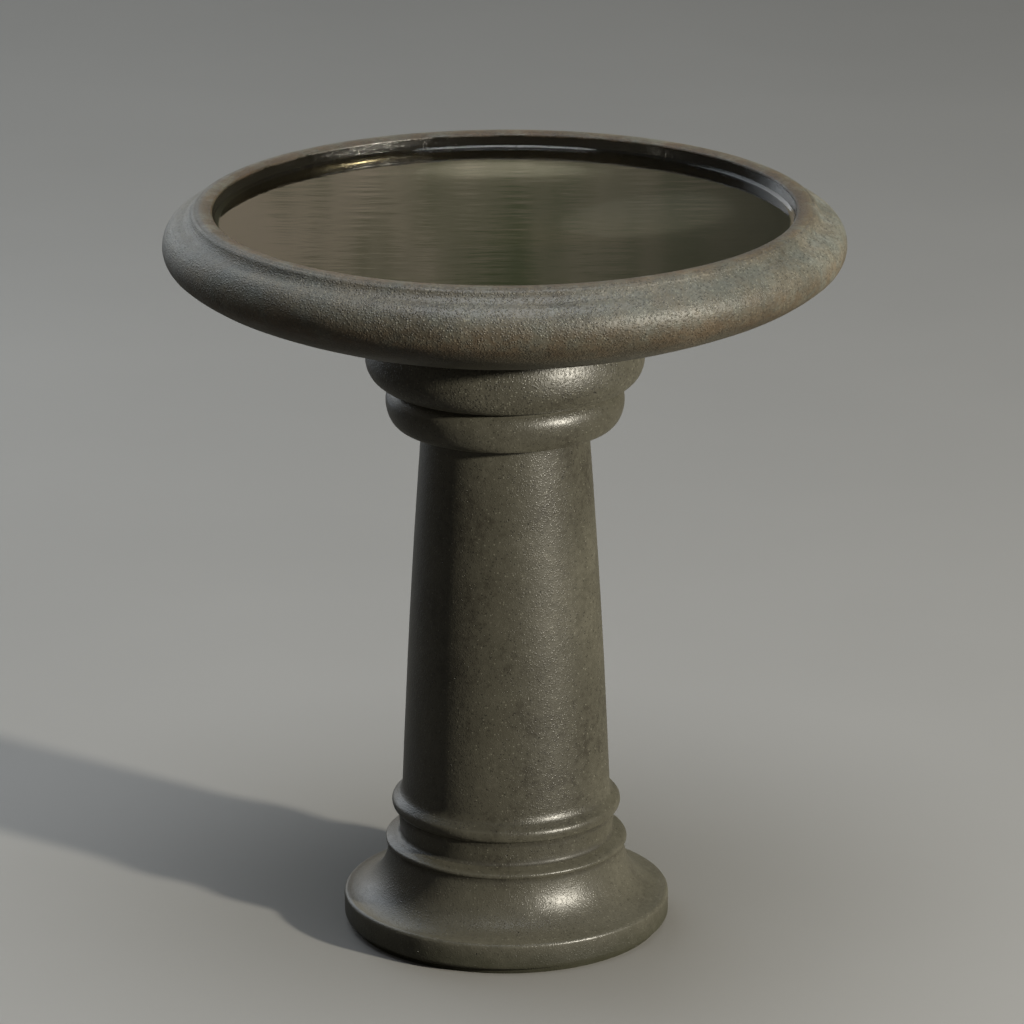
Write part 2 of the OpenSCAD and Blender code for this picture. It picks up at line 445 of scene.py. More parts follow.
def lathe_tree():
    """Turns a chain of points into a closed, slightly uneven casting."""
    tree = bpy.data.node_groups.new("turn a section", "GeometryNodeTree")
    tree.is_modifier = True
    tree_socket(tree, "Geometry", "NodeSocketGeometry")
    tree_socket(tree, "Rows", "NodeSocketInt", 2)
    tree_socket(tree, "Turn Steps", "NodeSocketInt", 64)
    tree_socket(tree, "Unevenness", "NodeSocketFloat", 0.0)
    tree_socket(tree, "Lump Size", "NodeSocketFloat", 0.03)
    tree_socket(tree, "Seed", "NodeSocketFloat", 0.0)
    tree_socket(tree, "Keep Below", "NodeSocketFloat", 0.0)
    tree_socket(tree, "Material", "NodeSocketMaterial")
    tree_socket(tree, "Geometry", "NodeSocketGeometry", out=True)
    given = tree.nodes.new("NodeGroupInput").outputs

    # one grid corner for each row and column; row and column come back out of the index
    columns = math_node(tree, "ADD", given["Turn Steps"], 1.0)
    grid = add_node(tree, "GeometryNodeMeshGrid", {"Vertices X": columns, "Vertices Y": given["Rows"]})
    index = tree.nodes.new("GeometryNodeInputIndex").outputs[0]
    row = math_node(tree, "MODULO", index, given["Rows"])
    column = math_node(tree, "FLOOR", math_node(tree, "DIVIDE", index, given["Rows"]))
    angle = math_node(tree, "MULTIPLY", math_node(tree, "DIVIDE", column, given["Turn Steps"]), math.tau)

    # the section's point for that row, swung round to the column's angle
    position = tree.nodes.new("GeometryNodeInputPosition").outputs[0]
    at_row = add_node(
        tree, "GeometryNodeSampleIndex",
        {"Geometry": given["Geometry"], "Value": position, "Index": row},
        data_type="FLOAT_VECTOR", domain="POINT")
    part = add_node(tree, "ShaderNodeSeparateXYZ", {0: at_row.outputs["Value"]}).outputs
    x = math_node(tree, "MULTIPLY", part["X"], math_node(tree, "COSINE", angle))
    y = math_node(tree, "MULTIPLY", part["X"], math_node(tree, "SINE", angle))
    placed = add_node(tree, "ShaderNodeCombineXYZ", {"X": x, "Y": y, "Z": part["Z"]}).outputs[0]
    turned = add_node(tree, "GeometryNodeSetPosition", {"Geometry": grid.outputs["Mesh"], "Position": placed})
    closed = add_node(
        tree, "GeometryNodeMergeByDistance", {"Geometry": turned.outputs[0], "Distance": MERGE_WITHIN})

    # unevenness: a noise from 0 to 1, taken off along the normal, but never from the foot
    scale = math_node(tree, "DIVIDE", 1.0, given["Lump Size"])
    noise = add_node(
        tree, "ShaderNodeTexNoise",
        {"Vector": position, "Scale": scale, "Detail": 3.0, "Roughness": 0.55, "W": given["Seed"]},
        noise_dimensions="4D")
    height = add_node(tree, "ShaderNodeSeparateXYZ", {0: position}).outputs["Z"]
    above = math_node(tree, "GREATER_THAN", height, given["Keep Below"])
    inwards = math_node(tree, "MULTIPLY", given["Unevenness"], -1.0)
    depth = math_node(tree, "MULTIPLY", noise.outputs["Fac"], inwards)
    normal = tree.nodes.new("GeometryNodeInputNormal").outputs[0]
    step = add_node(
        tree, "ShaderNodeVectorMath",
        {0: normal, "Scale": math_node(tree, "MULTIPLY", depth, above)}, operation="SCALE")
    rough = add_node(
        tree, "GeometryNodeSetPosition",
        {"Geometry": closed.outputs["Geometry"], "Offset": step.outputs["Vector"]})

    # how proud each point stands of its surroundings
    smooth = add_node(
        tree, "GeometryNodeBlurAttribute",
        {"Value": position, "Iterations": SMOOTHING_PASSES}, data_type="FLOAT_VECTOR")
    lift = vector_node(tree, "SUBTRACT", position, smooth.outputs["Value"])
    proud = vector_node(tree, "DOT_PRODUCT", lift, normal)
    ridge = add_node(
        tree, "GeometryNodeStoreNamedAttribute",
        {"Geometry": rough.outputs["Geometry"], "Name": "ridge", "Value": proud},
        data_type="FLOAT", domain="POINT")

    soft = add_node(tree, "GeometryNodeSetShadeSmooth", {"Geometry": ridge.outputs["Geometry"]})
    whole = add_node(tree, "GeometryNodeRealizeInstances", {"Geometry": soft.outputs["Geometry"]})
    painted = add_node(
        tree, "GeometryNodeSetMaterial",
        {"Geometry": whole.outputs["Geometry"], "Material": given["Material"]})
    add_node(tree, "NodeGroupOutput", {0: painted.outputs["Geometry"]})
    return tree


LATHE = lathe_tree()
print(f"the lathe is a tree of {len(LATHE.nodes)} nodes")


# %% [markdown]
# ## From a tree to a plain mesh
#
# A modifier's inputs are set by each socket's identifier, before the object is first evaluated. The
# evaluated result is then copied into a plain mesh, and the object that carried the modifier is thrown
# away, so that what is handed on is ordinary geometry with nothing live on it.

# %% Bake a tree into a mesh
LITRES = 1000.0


def set_inputs(modifier, values):
    """Sets a modifier's inputs by their names."""
    for item in modifier.node_group.interface.items_tree:
        if getattr(item, "in_out", None) == "INPUT" and item.name in values:
            modifier[item.identifier] = values[item.name]


def grow(name, seed_mesh, tree, values):
    """Runs a tree on a mesh and returns the result as a plain object."""
    carrier = bpy.data.objects.new(name + "_seed", seed_mesh)
    bpy.context.scene.collection.objects.link(carrier)
    modifier = carrier.modifiers.new("grow", "NODES")
    modifier.node_group = tree
    set_inputs(modifier, values)
    depsgraph = bpy.context.evaluated_depsgraph_get()
    mesh = bpy.data.meshes.new_from_object(carrier.evaluated_get(depsgraph), depsgraph=depsgraph)
    mesh.name = name
    bpy.data.objects.remove(carrier)
    bpy.data.meshes.remove(seed_mesh)
    piece = bpy.data.objects.new(name, mesh)
    bpy.context.scene.collection.objects.link(piece)
    return piece


def turn(name, section, steps, material, unevenness=0.0, lump_size=30 * MM, seed=0.0):
    """Turns a section into a solid piece."""
    points = [(x, 0.0, z) for x, z in section]
    chain = bpy.data.meshes.new(name + "_section")
    chain.from_pydata(points, [(i, i + 1) for i in range(len(points) - 1)], [])
    values = {
        "Rows": len(points), "Turn Steps": steps, "Unevenness": unevenness, "Lump Size": lump_size,
        "Seed": seed, "Keep Below": 0.5 * MM, "Material": material}
    piece = grow(name, chain, LATHE, values)
    print(f"{name}: {len(piece.data.polygons)} faces, {volume_of(piece) * LITRES:.3f} litres")
    return piece


def volume_of(piece):
    """Signed volume in cubic metres; it is below zero when the faces point inwards."""
    mesh = piece.data
    mesh.calc_loop_triangles()
    total = 0.0
    for triangle in mesh.loop_triangles:
        a, b, c = (mesh.vertices[i].co for i in triangle.vertices)
        total += a.dot(b.cross(c)) / 6.0
    return total


# %% [markdown]
# ## Surface effects as building blocks
#
# Cast stone is sand and cement. Close up it is a field of grains, some pale and some nearly black,
# with pinholes where air was trapped against the mould; the pinholes are painted near black, as
# painted shade. From further off, the colour drifts in soft clouds because the stain took unevenly.
# Each of these is one node group below, with sizes in metres, so the bowl and the pedestal can share
# them with different values. A fourth group reads the stored ridge and tells where edges are paled, as
# rubbing and painted highlight, and where hollows are darkened, as grime and painted shade.

# %% Shader helpers
def mix_colours(tree, factor, a, b, blend="MIX"):
    """Lays colour b over colour a by a factor from 0 to 1."""
    node = add_node(tree, "ShaderNodeMix", data_type="RGBA", blend_type=blend)
    for key, value in ((0, factor), (6, a), (7, b)):
        if isinstance(value, bpy.types.NodeSocket):
            tree.links.new(value, node.inputs[key])
        else:
            node.inputs[key].default_value = value
    return node.outputs[2]


def remap(tree, value, low, high, to_low=0.0, to_high=1.0, smooth=True):
    """Spreads a range of values over another range, and holds its ends."""
    kind = "SMOOTHSTEP" if smooth else "LINEAR"
    inputs = {"Value": value, "From Min": low, "From Max": high, "To Min": to_low, "To Max": to_high}
    return add_node(tree, "ShaderNodeMapRange", inputs, interpolation_type=kind).outputs[0]


def noise_at(tree, vector, size, detail=2.0, roughness=0.5, offset=0.0):
    """Noise whose lumps are about size metres across."""
    scale = math_node(tree, "DIVIDE", 1.0, size)
    inputs = {"Vector": vector, "Scale": scale, "Detail": detail, "Roughness": roughness, "W": offset}
    return add_node(tree, "ShaderNodeTexNoise", inputs, noise_dimensions="4D").outputs["Fac"]


def cells_at(tree, vector, size):
    """Random cells about size metres across: distance to the middle, and a random colour each."""
    scale = math_node(tree, "DIVIDE", 1.0, size)
    node = add_node(tree, "ShaderNodeTexVoronoi", {"Vector": vector, "Scale": scale})
    return node.outputs["Distance"], node.outputs["Color"]


def new_group(name, inputs, outputs):
    """A shader group with named sockets; gives back the tree, its inputs and its output node."""
    tree = bpy.data.node_groups.new(name, "ShaderNodeTree")
    for label, kind, value in inputs:
        tree_socket(tree, label, kind, value)
    for label, kind in outputs:
        tree_socket(tree, label, kind, out=True)
    given = tree.nodes.new("NodeGroupInput").outputs
    return tree, given, tree.nodes.new("NodeGroupOutput")


def from_axis(tree, parts):
    """Distance of a point from the upright axis, from the parts of its position."""
    flat = add_node(tree, "ShaderNodeCombineXYZ", {"X": parts["X"], "Y": parts["Y"]}).outputs[0]
    return vector_node(tree, "LENGTH", flat)


def bump_normal(tree, shader, height):
    """Feeds a height in metres to a shader as relief."""
    bump = add_node(tree, "ShaderNodeBump", {"Height": height, "Strength": 1.0, "Distance": 1.0})
    tree.links.new(bump.outputs[0], shader.inputs["Normal"])


FLOAT, COLOUR, VECTOR = "NodeSocketFloat", "NodeSocketColor", "NodeSocketVector"


# %% Clouded stain
def clouded_stain():
    """Three tones that drift into one another, with a finer break-up inside the clouds."""
    tree, given, out = new_group(
        "clouded stain",
        [("Position", VECTOR, None), ("Dark", COLOUR, (0.05, 0.045, 0.03, 1)),
         ("Middle", COLOUR, (0.1, 0.09, 0.07, 1)), ("Pale", COLOUR, (0.16, 0.15, 0.12, 1)),
         ("Cloud Size", FLOAT, 0.07), ("Fine Size", FLOAT, 0.008)],
        [("Color", COLOUR), ("Cloud", FLOAT)])
    cloud = noise_at(tree, given["Position"], given["Cloud Size"], 4.0, 0.6)
    fine = noise_at(tree, given["Position"], given["Fine Size"], 3.0, 0.65, 3.1)
    both = weighted_sum(tree, cloud, 0.62, fine, 0.38)
    dark = remap(tree, both, 0.50, 0.36)
    pale = remap(tree, both, 0.50, 0.66)
    colour = mix_colours(tree, dark, given["Middle"], given["Dark"])
    colour = mix_colours(tree, pale, colour, given["Pale"])
    tree.links.new(colour, out.inputs["Color"])
    tree.links.new(both, out.inputs["Cloud"])
    return tree


# %% Sand grain
def sand_grain():
    """Grains of sand: their relief, and the few that are pale or nearly black."""
    tree, given, out = new_group(
        "sand grain",
        [("Position", VECTOR, None), ("Grain Size", FLOAT, 0.0012), ("Pale Share", FLOAT, 0.05),
         ("Black Share", FLOAT, 0.06)],
        [("Pale Grains", FLOAT), ("Black Grains", FLOAT), ("Relief", FLOAT)])
    distance, random = cells_at(tree, given["Position"], given["Grain Size"])
    lot = add_node(tree, "ShaderNodeSeparateColor", {0: random}).outputs
    middle = remap(tree, distance, 0.62, 0.25)
    pale = math_node(tree, "LESS_THAN", lot[0], given["Pale Share"])
    black = math_node(tree, "LESS_THAN", lot[1], given["Black Share"])
    tree.links.new(math_node(tree, "MULTIPLY", pale, middle), out.inputs["Pale Grains"])
    tree.links.new(math_node(tree, "MULTIPLY", black, middle), out.inputs["Black Grains"])
    fine_size = math_node(tree, "MULTIPLY", given["Grain Size"], 1.6)
    fine = noise_at(tree, given["Position"], fine_size, 2.0, 0.6, 7.7)
    relief = weighted_sum(tree, middle, lot[2], fine, 0.6)
    tree.links.new(math_node(tree, "MULTIPLY", relief, given["Grain Size"]), out.inputs["Relief"])
    return tree


# %% Pinholes
def pinholes():
    """Small round holes, some cells having one and most having none."""
    tree, given, out = new_group(
        "pinholes",
        [("Position", VECTOR, None), ("Spacing", FLOAT, 0.008), ("Share", FLOAT, 0.3),
         ("Hole Size", FLOAT, 0.0016)],
        [("Holes", FLOAT), ("Depth", FLOAT)])
    wobble = noise_at(tree, given["Position"], math_node(tree, "MULTIPLY", given["Hole Size"], 1.5), 1.0)
    distance, random = cells_at(tree, given["Position"], given["Spacing"])
    lot = add_node(tree, "ShaderNodeSeparateColor", {0: random}).outputs
    has_one = math_node(tree, "LESS_THAN", lot[0], given["Share"])
    width = math_node(tree, "DIVIDE", given["Hole Size"], given["Spacing"])
    edge = math_node(tree, "MULTIPLY", width, remap(tree, lot[1], 0.0, 1.0, 0.25, 0.6, smooth=False))
    edge = math_node(tree, "MULTIPLY", edge, remap(tree, wobble, 0.2, 0.8, 0.6, 1.4, smooth=False))
    inner = math_node(tree, "MULTIPLY", edge, 0.45)
    hole = math_node(tree, "MULTIPLY", has_one, remap(tree, distance, edge, inner))
    tree.links.new(hole, out.inputs["Holes"])
    depth = math_node(tree, "MULTIPLY", hole, math_node(tree, "MULTIPLY", given["Hole Size"], -0.35))
    tree.links.new(depth, out.inputs["Depth"])
    return tree


# %% Pale edges and dark hollows: rubbing and painted highlight, grime and painted shade
def wear_dirt_and_painted_light():
    """Reads how proud the surface stands, and breaks the result up so that it never runs as a line."""
    tree, given, out = new_group(
        "wear dirt and painted light",
        [("Position", VECTOR, None), ("Wear From", FLOAT, 0.0001), ("Dirt From", FLOAT, 0.0001),
         ("Patch Size", FLOAT, 0.012)],
        [("Wear And Highlight", FLOAT), ("Dirt And Shade", FLOAT)])
    stored = add_node(tree, "ShaderNodeAttribute", attribute_name="ridge", attribute_type="GEOMETRY")
    ridge = stored.outputs["Fac"]
    patches = noise_at(tree, given["Position"], given["Patch Size"], 4.0, 0.65, 1.3)
    broken = remap(tree, patches, 0.35, 0.65, 0.25, 1.0)
    # proud edges are paled: partly rubbing, partly painted highlight
    full_wear_and_highlight = math_node(tree, "MULTIPLY", given["Wear From"], 5.0)
    wear_and_highlight = math_node(tree, "MULTIPLY", remap(tree, ridge, given["Wear From"], full_wear_and_highlight), broken)
    # hollows are darkened: partly grime, partly painted shade
    hollow = math_node(tree, "MULTIPLY", ridge, -1.0)
    full_dirt_and_shade = math_node(tree, "MULTIPLY", given["Dirt From"], 5.0)
    dirt_and_shade = math_node(tree, "MULTIPLY", remap(tree, hollow, given["Dirt From"], full_dirt_and_shade), broken)
    tree.links.new(wear_and_highlight, out.inputs["Wear And Highlight"])
    tree.links.new(dirt_and_shade, out.inputs["Dirt And Shade"])
    return tree


# %% Build the four effects
STAIN, GRAIN, HOLES, EDGES_AND_HOLLOWS = clouded_stain(), sand_grain(), pinholes(), wear_dirt_and_painted_light()
for effect in (STAIN, GRAIN, HOLES, EDGES_AND_HOLLOWS):
    print(f"effect {effect.name}: {len(effect.nodes)} nodes")


# %% [markdown]
# ## The two stones
#
# Both castings come out of the same mix, but they have lived differently. The pedestal has kept its
# satin wax and its dark olive brown, with a little dust on the bell, and its plinth is darkened towards
# the ground as painted shade. The bowl is handled, splashed and dried over and over, so it is greyer and
# rougher. One function lays the shared effects over one another, and a second one hands the result to
# the shader. Dry stone scatters light evenly, without a bright middle, so its Diffuse Roughness is 1.

# %% Material helpers
def place_group(tree, group, **inputs):
    """Places one of the effects in a material, with its own values."""
    node = add_node(tree, "ShaderNodeGroup", node_tree=group)
    for key, value in inputs.items():
        socket = node.inputs[key.replace("_", " ")]
        if isinstance(value, bpy.types.NodeSocket):
            tree.links.new(value, socket)
        else:
            socket.default_value = value
    return node.outputs


def new_material(name):
    """An empty material with one Principled shader; also gives the piece's own coordinates."""
    material = bpy.data.materials.new(name)
    material.use_nodes = True
    tree = material.node_tree
    tree.nodes.clear()
    shader = tree.nodes.new("ShaderNodeBsdfPrincipled")
    output = tree.nodes.new("ShaderNodeOutputMaterial")
    tree.links.new(shader.outputs[0], output.inputs["Surface"])
    position = tree.nodes.new("ShaderNodeTexCoord").outputs["Object"]
    return material, tree, shader, position


# %% Stone layers
PALE_SAND = (0.21, 0.205, 0.165, 1)
# near black for the black grains, and painted shade inside the pinholes
BLACK_SAND_AND_HOLE_SHADE = (0.010, 0.009, 0.007, 1)
# the colour of paled edges: rubbing and painted highlight
RUBBED_AND_LIT = (0.13, 0.125, 0.10, 1)
# the colour of darkened hollows: grime and painted shade
GRIME_AND_SHADE = (0.018, 0.016, 0.012, 1)
LUMP_WIDTH = 9 * MM
LUMP_HEIGHT = 0.25 * MM


def stone_layers(tree, position, tones, fine_size, grain_size, pale_share, black_share, hole_share, grit):
    """Stain, grain, pale edges (rubbing and painted highlight), dark hollows (grime and painted shade) and
    pinholes painted near black (painted shade), laid over one another in that order.
    """
    stain = place_group(
        tree, STAIN, Position=position, Dark=tones[0], Middle=tones[1], Pale=tones[2], Fine_Size=fine_size)
    grain = place_group(
        tree, GRAIN, Position=position, Grain_Size=grain_size, Pale_Share=pale_share, Black_Share=black_share)
    holes = place_group(tree, HOLES, Position=position, Share=hole_share)
    edges_and_hollows = place_group(tree, EDGES_AND_HOLLOWS, Position=position)
    colour = stain["Color"]
    # edges paled as rubbing and painted highlight, hollows darkened as grime and painted shade, pinholes
    # painted near black as painted shade
    for amount, strength, tint in (
            (grain["Pale Grains"], 0.40, PALE_SAND), (grain["Black Grains"], 0.70, BLACK_SAND_AND_HOLE_SHADE),
            (edges_and_hollows["Wear And Highlight"], 0.30, RUBBED_AND_LIT), (edges_and_hollows["Dirt And Shade"], 0.55, GRIME_AND_SHADE), (holes["Holes"], 0.85, BLACK_SAND_AND_HOLE_SHADE)):
        colour = mix_colours(tree, math_node(tree, "MULTIPLY", amount, strength), colour, tint)
    lumps = noise_at(tree, position, LUMP_WIDTH, 3.0, 0.6, 5.0)
    relief = math_node(tree, "ADD", math_node(tree, "MULTIPLY", grain["Relief"], grit), holes["Depth"])
    relief = math_node(tree, "ADD", relief, math_node(tree, "MULTIPLY", lumps, LUMP_HEIGHT))
    return {"colour": colour, "cloud": stain["Cloud"], "dirt_and_shade": edges_and_hollows["Dirt And Shade"], "relief": relief}


def finish_stone(tree, shader, colour, roughness, relief):
    """Hands colour, gloss and relief to a stone's shader."""
    shader.inputs["Diffuse Roughness"].default_value = 1.0
    tree.links.new(colour, shader.inputs["Base Color"])
    tree.links.new(roughness, shader.inputs["Roughness"])
    bump_normal(tree, shader, relief)


# %% Pedestal material
WAXED = ((0.034, 0.031, 0.023, 1), (0.056, 0.053, 0.040, 1), (0.078, 0.074, 0.057, 1))
# a dark green brown laid low on the plinth as painted shade
FOOT_SHADE = (0.018, 0.019, 0.010, 1)
DUST = (0.110, 0.105, 0.085, 1)

# heights above the ground where the painted shade at the foot begins and where it is full, and how ragged its
# edge is
FOOT_SHADE_FROM = 46 * MM
FOOT_SHADE_FULL = 18 * MM
FOOT_SHADE_RAGGED = 30 * MM


def pedestal_stone():
    """Waxed stone, dusty on the bell, and darkened towards the ground as painted shade."""
    material, tree, shader, position = new_material("waxed_cast_stone")
    made = stone_layers(
        tree, position, WAXED, fine_size=4.5 * MM, grain_size=1.4 * MM, pale_share=0.03,
        black_share=0.09, hole_share=0.30, grit=0.085)
    height = add_node(tree, "ShaderNodeSeparateXYZ", {0: position}).outputs["Z"]
    ragged = math_node(tree, "MULTIPLY", noise_at(tree, position, 22 * MM, 4.0, 0.6, 2.0), FOOT_SHADE_RAGGED)
    foot_shade = remap(tree, math_node(tree, "ADD", height, ragged), FOOT_SHADE_FROM, FOOT_SHADE_FULL)
    dust = remap(tree, height, bell_top_z + 6 * MM, bell_top_z - 12 * MM)
    colour = mix_colours(tree, math_node(tree, "MULTIPLY", dust, 0.20), made["colour"], DUST)
    # painted shade: the plinth darkened towards the ground
    colour = mix_colours(tree, math_node(tree, "MULTIPLY", foot_shade, 0.70), colour, FOOT_SHADE)
    roughness = remap(tree, made["cloud"], 0.3, 0.7, 0.34, 0.43)
    roughness = math_node(tree, "ADD", roughness, math_node(tree, "MULTIPLY", made["dirt_and_shade"], 0.25))
    finish_stone(tree, shader, colour, roughness, made["relief"])
    return material


# %% [markdown]
# ## The bowl's history
#
# Each stain lies where its cause is, found from height and distance from the axis. The foot keeps the
# pedestal's wax, and the finish weathers towards the rim. Rust sits in patches along the mouth and under
# the roll, over an even brown on the lip. Under the roll a darker brown is painted shade with a brown
# stain in it. These browns are multiplied into the stone, so that its grain still shows through them.
# The dish is wet up to a ragged line a little above the water. Wet stone is dark, and here it is painted
# nearly black, which is also painted shade on the dish's wall and floor. Its film of water fills the
# grain, so it is smooth as well.

# %% Where the bowl is weathered, rusty and brown
water_z = lip_top_z - 10.7 * MM
RAGGED = 12 * MM


def bowl_stains(tree, parts, radius, patches, height):
    """How weathered, how rusty, how brown at the mouth and how darkened underneath as painted shade each
    point is, from 0 to 1.
    """
    weathered = remap(tree, height, roll_z - 42 * MM, roll_z - 19 * MM)
    inner_lip = remap(tree, radius, lip_in_r + 20 * MM, lip_in_r + 4 * MM)
    at_mouth = math_node(
        tree, "MULTIPLY", inner_lip, remap(tree, parts["Z"], total_h - 9 * MM, total_h - 5 * MM))
    under_roll = math_node(
        tree, "MULTIPLY", remap(tree, height, roll_z - 24 * MM, roll_z - 11 * MM),
        remap(tree, height, roll_z + 13 * MM, roll_z - 3 * MM))
    rusty = math_node(tree, "MAXIMUM", at_mouth, math_node(tree, "MULTIPLY", under_roll, 0.7))
    rusty = math_node(tree, "MULTIPLY", rusty, remap(tree, patches, 0.36, 0.56))
    # the underside below the roll, darkened as painted shade with a brown stain
    underside = remap(tree, height, roll_z - 1 * MM, roll_z - 23 * MM)
    return weathered, rusty, at_mouth, math_node(tree, "MULTIPLY", underside, weathered)


# %% Where the bowl is wet
def bowl_wetness(tree, parts, radius, wobble):
    """Wet near the dish's own surface, up to a line above the water; the rest is dry."""
    wet_top = math_node(tree, "ADD", parts["Z"], math_node(tree, "MULTIPLY", wobble, 0.35))
    wet = remap(tree, wet_top, water_z + 10.4 * MM, water_z + 8 * MM)
    share = math_node(tree, "DIVIDE", radius, dish_r)
    flatness = math_node(tree, "SUBTRACT", 1.0, math_node(tree, "MULTIPLY", share, share), clamp=True)
    sag = math_node(tree, "MULTIPLY_ADD", math_node(tree, "SQRT", flatness), dish_depth, -dish_top_z)
    over_dish = math_node(tree, "ADD", parts["Z"], sag)
    wet = math_node(tree, "MULTIPLY", wet, remap(tree, over_dish, -7 * MM, -4 * MM))
    return math_node(tree, "MULTIPLY", wet, remap(tree, radius, lip_in_r + 2 * MM, lip_in_r + 1 * MM))


def bowl_masks(tree, position):
    """All of the bowl's masks: weathered, rusty, wet, brown at the mouth, painted shade underneath."""
    parts = add_node(tree, "ShaderNodeSeparateXYZ", {0: position}).outputs
    radius = from_axis(tree, parts)
    patches = noise_at(tree, position, 16 * MM, 5.0, 0.65, 9.0)
    wobble = math_node(tree, "MULTIPLY", math_node(tree, "SUBTRACT", patches, 0.5), RAGGED)
    height = math_node(tree, "ADD", parts["Z"], wobble)
    weathered, rusty, at_mouth, underside = bowl_stains(tree, parts, radius, patches, height)
    return weathered, rusty, bowl_wetness(tree, parts, radius, wobble), at_mouth, underside


# %% Bowl material
WEATHERED = ((0.040, 0.037, 0.029, 1), (0.073, 0.071, 0.060, 1), (0.118, 0.115, 0.101, 1))
RUST = (0.78, 0.58, 0.43, 1)
MOUTH_BROWN = (0.68, 0.64, 0.57, 1)
# brown stain and painted shade under the roll
UNDER_SHADE_BROWN = (0.66, 0.57, 0.48, 1)
# wet stone painted near black: wet darkening and painted shade on the dish's wall and floor
WET_SHADED_STONE = (0.006, 0.0055, 0.004, 1)
COOL_DRIFT = (0.95, 1.01, 1.02, 1)
WARM_DRIFT = (1.06, 1.0, 0.91, 1)


def bowl_stone():
    """Weathered stone above, waxed below, stained, wet and painted with shade by the masks."""
    material, tree, shader, position = new_material("weathered_cast_stone")
    weathered, rusty, wet, mouth, underside = bowl_masks(tree, position)
    tones = [mix_colours(tree, weathered, young, old) for young, old in zip(WAXED, WEATHERED)]
    grit = remap(tree, weathered, 0.0, 1.0, 0.13, 0.27)
    made = stone_layers(
        tree, position, tones, fine_size=4 * MM, grain_size=1.6 * MM, pale_share=0.14,
        black_share=0.28, hole_share=0.5, grit=grit)
    drift = remap(tree, noise_at(tree, position, 30 * MM, 5.0, 0.7, 4.0), 0.38, 0.62)
    tint = mix_colours(tree, drift, COOL_DRIFT, WARM_DRIFT)
    colour = mix_colours(tree, weathered, made["colour"], tint, "MULTIPLY")
    # the brown underneath is partly painted shade
    for amount, stain in ((rusty, RUST), (mouth, MOUTH_BROWN), (underside, UNDER_SHADE_BROWN)):
        colour = mix_colours(tree, amount, colour, stain, "MULTIPLY")
    # the wet dish is painted near black: wet darkening and painted shade
    colour = mix_colours(tree, math_node(tree, "MULTIPLY", wet, 0.97), colour, WET_SHADED_STONE)
    roughness = remap(tree, made["cloud"], 0.3, 0.7, 0.38, 0.47)
    roughness = math_node(tree, "ADD", roughness, math_node(tree, "MULTIPLY", weathered, 0.06))
    roughness = math_node(tree, "ADD", roughness, math_node(tree, "MULTIPLY", rusty, 0.10))
    roughness = math_node(tree, "SUBTRACT", roughness, math_node(tree, "MULTIPLY", wet, 0.36))
    film = math_node(tree, "MULTIPLY_ADD", wet, -0.8, 1.0)
    finish_stone(tree, shader, colour, roughness, math_node(tree, "MULTIPLY", made["relief"], film))
    return material


# %% [markdown]
# ## The water
#
# Rain water that has stood for a while is clear but tea coloured. It is a closed volume, so that light
# bends in and out of it properly. Its rim climbs the stone by a millimetre or two, and that bright thin
# line is what tells the eye where the water ends. Its underside is sunk a little into the stone, which
# leaves no gap of air between them. Rays on their way to a lamp pass straight through, so the floor of
# the dish is lit.

# %% Water material
TEA = (0.50, 0.45, 0.32, 1)
TEA_SHADOW = (0.45, 0.40, 0.28, 1)
RIPPLE_SIZE = 12 * MM
RIPPLE_HEIGHT = 0.09 * MM
RIPPLE_STRETCH = (0.22, 1.0, 1.0)


def water_material():
    """Clear brownish water, rippled a little except beside the stone."""
    material, tree, shader, position = new_material("rain_water")
    shader.inputs["Base Color"].default_value = TEA
    shader.inputs["Roughness"].default_value = 0.03
    shader.inputs["IOR"].default_value = 1.333
    shader.inputs["Transmission Weight"].default_value = 1.0
    drawn_out = add_node(tree, "ShaderNodeMapping", {"Vector": position, "Scale": RIPPLE_STRETCH})
    ripples = noise_at(tree, drawn_out.outputs[0], RIPPLE_SIZE, 3.0, 0.5)
    parts = add_node(tree, "ShaderNodeSeparateXYZ", {0: position}).outputs
    open_water = remap(tree, from_axis(tree, parts), dish_r - 8 * MM, dish_r - 16 * MM)
    calmed = math_node(tree, "MULTIPLY", open_water, RIPPLE_HEIGHT)
    bump_normal(tree, shader, math_node(tree, "MULTIPLY", ripples, calmed))
    clear = add_node(tree, "ShaderNodeBsdfTransparent", {"Color": TEA_SHADOW})
    path = tree.nodes.new("ShaderNodeLightPath").outputs["Is Shadow Ray"]
    mixed = add_node(tree, "ShaderNodeMixShader", {0: path, 1: shader.outputs[0], 2: clear.outputs[0]})
    output = next(n for n in tree.nodes if n.type == "OUTPUT_MATERIAL")
    tree.links.new(mixed.outputs[0], output.inputs["Surface"])
    return material


# %% Water section
MENISCUS_CLIMB = 2.0 * MM
MENISCUS_REACH = 4.5 * MM
SUNK = 0.4 * MM


def dish_radius(z):
    """Radius of the dish at a height."""
    return dish_r * math.sqrt(max(0.0, 1 - ((dish_top_z - z) / dish_depth) ** 2))


def sunken_dish_points(top_z, steps=40):
    """The dish's curve, sunk a little into the stone, from the water's edge to the middle."""
    points = []
    for i in range(steps, -1, -1):
        a = math.pi / 2 * i / steps
        x, z = dish_r * math.sin(a), dish_top_z - (dish_depth + SUNK) * math.cos(a)
        if z < top_z:
            beside_axis = x + SUNK < 10 * MM
            points.append((x if beside_axis else x + SUNK, z))
    return points


